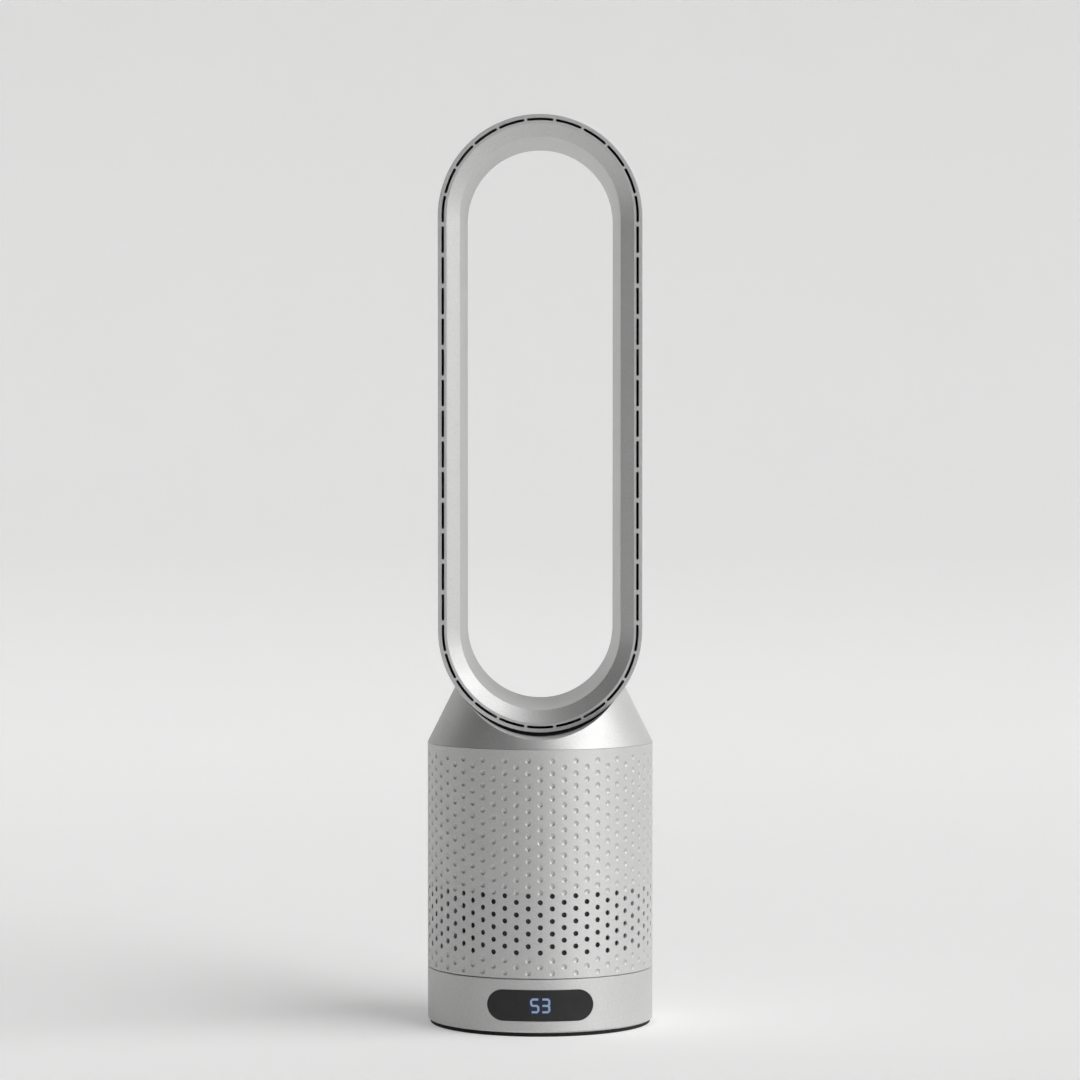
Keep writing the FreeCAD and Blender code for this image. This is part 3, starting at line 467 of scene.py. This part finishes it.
def edge_strips(skin, radius, facing, z0, z1):
    """Plain strips beside each seam and the flat seam faces themselves."""
    for sign in (-1, 1):
        start = facing + sign * (COLUMNS_A_SIDE + 0.5) * COLUMN_STEP
        end = facing + sign * half_reach(radius)
        angles = [start + (end - start) * i / SEAM_STEPS for i in range(SEAM_STEPS + 1)]
        for r, face_out in ((radius, 1), (radius - SHROUD_WALL, -1)):
            for pair in zip(angles, angles[1:]):
                if sign * face_out < 0:
                    pair = pair[::-1]
                normals = [Vector((math.cos(t), math.sin(t), 0)) * face_out for t in pair]
                upright(skin, [(r * math.cos(t), r * math.sin(t)) for t in pair], z0, z1, normals)
        tips = [(r * math.cos(end), r * math.sin(end)) for r in (radius, radius - SHROUD_WALL)]
        if sign < 0:
            tips.reverse()
        out = Vector((-math.sin(end), math.cos(end), 0)) * sign
        upright(skin, tips, z0, z1, [out, out])


def rims(skin, radius, facing, z0, z1):
    """Flat top and bottom edges of the wall."""
    reach = half_reach(radius)
    inner = radius - SHROUD_WALL
    angles = [facing - reach + 2 * reach * i / RIM_STEPS for i in range(RIM_STEPS + 1)]
    for a, b in zip(angles, angles[1:]):
        for z, up in ((z0, -1), (z1, 1)):
            corners = [(radius, a), (radius, b), (inner, b), (inner, a)]
            if up < 0:
                corners.reverse()
            points = [(r * math.cos(t), r * math.sin(t), z) for r, t in corners]
            quad(skin, points, [Vector((0, 0, up))] * 4)


shroud_half("front_shroud", "front_shroud_skin", "front_panel", math.radians(270))
shroud_half("rear_shroud", "rear_shroud_skin", "rear_panel", math.radians(90))


# ---- lit numerals -----------------------------------------------------------------------------

# WINDOW_R is the radius of the window's face, which the numerals follow
DIGIT_STROKE = 2.0 * MM
WINDOW_R = 111.9 * MM
NUMERAL_DEPTH = 1.0 * MM

# strokes of each numeral, as shares of its half width and half height
FIVE = [
    [(1, 1), (-0.55, 1), (-1, 0.72), (-1, 0.24), (-0.6, 0),
     (0.55, 0), (1, -0.24), (1, -0.76), (0.6, -1), (-0.85, -1)]]
THREE = [
    [(-0.9, 1), (0.55, 1), (1, 0.76), (1, 0.24), (0.6, 0), (-0.9, 0)],
    [(0.6, 0), (1, -0.24), (1, -0.76), (0.6, -1), (-0.9, -1)]]


def stroke_outline(points, half_width):
    """Left and right edges of a ribbon along the points, mitred at each bend."""
    left = []
    right = []
    for i, here in enumerate(points):
        before = points[max(i - 1, 0)]
        after = points[min(i + 1, len(points) - 1)]
        arrive = (here - before).normalized() if i else (after - here).normalized()
        leave = (after - here).normalized() if i < len(points) - 1 else arrive
        along = (arrive + leave).normalized()
        across = Vector((-along.y, along.x))
        reach = half_width / max(across.dot(Vector((-arrive.y, arrive.x))), 0.5)
        left.append(here + across * reach)
        right.append(here - across * reach)
    return left, right


def numeral(node, name, strokes, x_centre):
    """Raised lit numeral following the curved window."""
    half_w = (DIGIT_W - DIGIT_STROKE) / 2
    half_h = (DIGIT_H - DIGIT_STROKE) / 2
    points = []
    faces = []
    for stroke in strokes:
        run = [Vector((x_centre + x * half_w, DIGIT_Z + z * half_h)) for x, z in stroke]
        left, right = stroke_outline(run, DIGIT_STROKE / 2)
        first = len(points)
        for a, b in zip(left, right):
            for radius in (WINDOW_R, WINDOW_R - NUMERAL_DEPTH):
                points += [(p.x, -math.sqrt(radius ** 2 - p.x ** 2), p.y) for p in (a, b)]
        for i in range(len(run) - 1):
            n = first + 4 * i
            faces += [(n, n + 1, n + 5, n + 4), (n, n + 4, n + 6, n + 2), (n + 1, n + 3, n + 7, n + 5)]
    mesh = bpy.data.meshes.new(name)
    mesh.from_pydata(points, [], faces)
    mesh.materials.append(DIGIT)
    piece = bpy.data.objects.new(name, mesh)
    bpy.context.scene.collection.objects.link(piece)
    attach(piece, "base")
    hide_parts(node)


numeral("digit_tens", "tens_numeral", FIVE, -DIGIT_PITCH / 2)
numeral("digit_ones", "ones_numeral", THREE, DIGIT_PITCH / 2)


# ---- stage, light and camera ------------------------------------------------------------------

def stage_material(name, tone, low_glow, high_glow, glow_height):
    """Matt pale ground with a faint glow, which only camera, glossy and transmission rays see."""
    material, tree, shader = new_material(name)
    mottle = spread(tree, noise(tree, 3.0), grey(tone * 0.99), grey(tone))
    tree.links.new(mottle, shader.inputs["Base Color"])
    shader.inputs["Roughness"].default_value = 0.9
    shader.inputs["Specular IOR Level"].default_value = 0.1
    shader.inputs["Emission Color"].default_value = (1, 1, 1, 1)
    path = tree.nodes.new("ShaderNodeLightPath")
    seen = path.outputs["Is Camera Ray"]
    for kind in ("Is Glossy Ray", "Is Transmission Ray"):
        seen = maths(tree, "MAXIMUM", seen, path.outputs[kind])
    by_height = spread(tree, axes(tree)["Z"], low_glow, high_glow, 0.0, glow_height)
    strength = maths(tree, "MULTIPLY", seen, by_height)
    tree.links.new(strength, shader.inputs["Emission Strength"])
    return material


def backdrop():
    """Floor that curves up into a wall a long way behind the fan."""
    half_width = 60.0
    front = -60.0
    bend_start = 3.0
    bend_r = 2.5
    height = 8.0
    bend_steps = 18
    rows = [(front, 0.0), (bend_start, 0.0)]
    for i in range(1, bend_steps + 1):
        turn = math.radians(90 / bend_steps * i)
        rows.append((bend_start + bend_r * math.sin(turn), bend_r * (1 - math.cos(turn))))
    rows.append((bend_start + bend_r, height))
    verts = [(x, y, z) for y, z in rows for x in (-half_width, half_width)]
    faces = [(2 * i, 2 * i + 1, 2 * i + 3, 2 * i + 2) for i in range(len(rows) - 1)]
    mesh = bpy.data.meshes.new("backdrop")
    mesh.from_pydata(verts, [], faces)
    for polygon in mesh.polygons:
        polygon.use_smooth = True
    sheet = bpy.data.objects.new("backdrop", mesh)
    bpy.context.scene.collection.objects.link(sheet)
    mesh.materials.append(
        stage_material("pale ground", 0.80, low_glow=0.310, high_glow=0.212, glow_height=0.35))
    return sheet


def soft_sun(name, towards, power, width_degrees):
    """A wide far-off softbox; towards points from the fan to the lamp."""
    data = bpy.data.lights.new(name, "SUN")
    data.energy = power
    data.angle = math.radians(width_degrees)
    lamp = bpy.data.objects.new(name, data)
    lamp.rotation_euler = Vector(towards).to_track_quat("Z", "Y").to_euler()
    bpy.context.scene.collection.objects.link(lamp)


def world_light(level, overhead, backdrop_glow):
    """Pale round the horizon and darker overhead, as in a studio with a dark ceiling.

    The camera itself sees backdrop_glow past the edge of the ground, where that is the stronger."""
    world = bpy.data.worlds.new("studio")
    world.use_nodes = True
    tree = world.node_tree
    strength = spread(tree, axes(tree, "Generated")["Z"], level, overhead, 0.05, 0.55)
    path = tree.nodes.new("ShaderNodeLightPath")
    seen = maths(tree, "MULTIPLY", path.outputs["Is Camera Ray"], backdrop_glow)
    stronger = maths(tree, "MAXIMUM", strength, seen)
    tree.links.new(stronger, tree.nodes["Background"].inputs["Strength"])
    bpy.context.scene.world = world


def camera(eye, aim, lens):
    data = bpy.data.cameras.new("camera")
    data.lens = lens
    data.sensor_width = 36.0
    data.clip_end = 60.0
    view = bpy.data.objects.new("camera", data)
    view.location = eye
    view.rotation_euler = (Vector(aim) - Vector(eye)).to_track_quat("-Z", "Y").to_euler()
    bpy.context.scene.collection.objects.link(view)
    bpy.context.scene.camera = view


floor = backdrop()
soft_sun("softbox", (0.71, -0.33, 0.62), power=2.1, width_degrees=62)
soft_sun("front fill", (0.64, -0.77, 0.14), power=0.54, width_degrees=40)
world_light(level=1.24, overhead=0.46, backdrop_glow=14.0)
# a long lens at about two thirds of the fan's height, tilted down a little
camera(eye=(-0.0002, -3.926, 0.578), aim=(-0.0002, 0.0, 0.4796), lens=131.55)
bpy.context.scene.view_settings.view_transform = "Standard"
